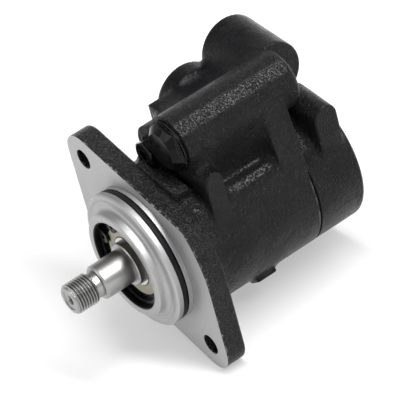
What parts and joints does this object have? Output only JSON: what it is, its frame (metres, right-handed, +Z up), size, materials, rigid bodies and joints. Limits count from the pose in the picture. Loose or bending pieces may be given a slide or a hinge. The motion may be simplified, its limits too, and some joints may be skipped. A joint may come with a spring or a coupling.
{
  "type": "power steering pump",
  "caption": "Vane type power steering pump: threaded shaft and ball bearing in a two-ear flanged cast housing, with a control valve boss, two side ports and a round rear cover.",
  "frame": {"origin": "on the shaft axis at the mounting flange's machined front face, midway between its two bolt holes", "axes": "-Y along the shaft towards its threaded end, +Z up to the side of the control valve, -X the way both ports open"},
  "size_m": [0.1026, 0.1518, 0.1247],
  "materials": {
    "cast_housing": "black enamel over a rough cast skin, machined faces bare",
    "cast_cover": "black enamel over a rough cast skin",
    "screw_steel": "black screws under the paint",
    "rubber_seal": "black nitrile rubber",
    "black_spring_steel": "black oiled spring steel",
    "bearing_steel": "ground and polished bearing steel",
    "ground_steel": "ground steel",
    "plate_iron": "ground iron plate",
    "bronze_bush": "bronze-lined bush",
    "black_plug": "glossy black plating",
    "washer_metal": "black washed sealing ring",
    "spring_steel": "oil-tempered spring wire",
    "shaft_steel": "ground shaft steel",
    "cage_plastic": "cream moulded polyamide",
    "vane_steel": "ground vane steel"
  },
  "bodies": {
    "root": {"pump_housing": "cast_housing", "rear_cover": "cast_cover", "cover_screws": "screw_steel", "cover_seal_ring": "rubber_seal", "spigot_seal_ring": "rubber_seal", "bearing_circlip": "black_spring_steel", "bearing_outer_ring": "bearing_steel", "shaft_seal": "rubber_seal", "cam_ring": "ground_steel", "front_side_plate": "plate_iron", "pressure_plate": "plate_iron", "plate_dowels": "ground_steel", "pressure_plate_spring": "black_spring_steel", "rear_bush": "bronze_bush", "valve_plug": "black_plug", "valve_plug_washer": "washer_metal", "spool_spring": "spring_steel", "relief_plug": "black_plug", "relief_plug_washer": "washer_metal", "relief_spring": "spring_steel"},
    "shaft": {"drive_shaft": "shaft_steel", "bearing_inner_ring": "bearing_steel", "shaft_retaining_ring": "black_spring_steel", "rotor": "ground_steel"},
    "cage": {"bearing_cage": "cage_plastic", "bearing_balls": "bearing_steel"},
    "flow_spool": {"flow_control_spool": "ground_steel"},
    "relief_valve": {"relief_ball": "bearing_steel"},
    "vane_01_body": {"vane_01": "vane_steel"},
    "vane_02_body": {"vane_02": "vane_steel"},
    "vane_03_body": {"vane_03": "vane_steel"},
    "vane_04_body": {"vane_04": "vane_steel"},
    "vane_05_body": {"vane_05": "vane_steel"},
    "vane_06_body": {"vane_06": "vane_steel"},
    "vane_07_body": {"vane_07": "vane_steel"},
    "vane_08_body": {"vane_08": "vane_steel"},
    "vane_09_body": {"vane_09": "vane_steel"},
    "vane_10_body": {"vane_10": "vane_steel"}
  },
  "joints": [
    {"name": "shaft_spin", "type": "hinge", "parent": "root", "child": "shaft", "pos_m": [0, 0, 0], "axis": [0, -1, 0], "continuous": true},
    {"name": "bearing_cage_spin", "type": "hinge", "parent": "root", "child": "cage", "pos_m": [0, -0.0025, 0], "axis": [0, -1, 0], "continuous": true},
    {"name": "flow_spool_slide", "type": "slide", "parent": "root", "child": "flow_spool", "axis": [0, 1, 0], "range_m": [0, 0.004], "stiffness_N_per_m": 4500, "springref_m": -0.008},
    {"name": "relief_ball_lift", "type": "slide", "parent": "root", "child": "relief_valve", "axis": [0, -1, 0], "range_m": [0, 0.001], "stiffness_N_per_m": 9000, "springref_m": -0.002},
    {"name": "vane_01_slide", "type": "slide", "parent": "shaft", "child": "vane_01_body", "axis": [1, 0, 0], "range_m": [-0.0008, 0]},
    {"name": "vane_02_slide", "type": "slide", "parent": "shaft", "child": "vane_02_body", "axis": [0.809, 0, 0.5878], "range_m": [-0.0008, 0]},
    {"name": "vane_03_slide", "type": "slide", "parent": "shaft", "child": "vane_03_body", "axis": [0.309, 0, 0.9511], "range_m": [-0.0008, 0]},
    {"name": "vane_04_slide", "type": "slide", "parent": "shaft", "child": "vane_04_body", "axis": [-0.309, 0, 0.9511], "range_m": [-0.0008, 0]},
    {"name": "vane_05_slide", "type": "slide", "parent": "shaft", "child": "vane_05_body", "axis": [-0.809, 0, 0.5878], "range_m": [-0.0008, 0]},
    {"name": "vane_06_slide", "type": "slide", "parent": "shaft", "child": "vane_06_body", "axis": [-1, 0, 0], "range_m": [-0.0008, 0]},
    {"name": "vane_07_slide", "type": "slide", "parent": "shaft", "child": "vane_07_body", "axis": [-0.809, 0, -0.5878], "range_m": [-0.0008, 0]},
    {"name": "vane_08_slide", "type": "slide", "parent": "shaft", "child": "vane_08_body", "axis": [-0.309, 0, -0.9511], "range_m": [-0.0008, 0]},
    {"name": "vane_09_slide", "type": "slide", "parent": "shaft", "child": "vane_09_body", "axis": [0.309, 0, -0.9511], "range_m": [-0.0008, 0]},
    {"name": "vane_10_slide", "type": "slide", "parent": "shaft", "child": "vane_10_body", "axis": [0.809, 0, -0.5878], "range_m": [-0.0008, 0]}
  ],
  "couplings": [
    {"joint": "bearing_cage_spin", "follows": "shaft_spin", "ratio": 0.35938}
  ]
}
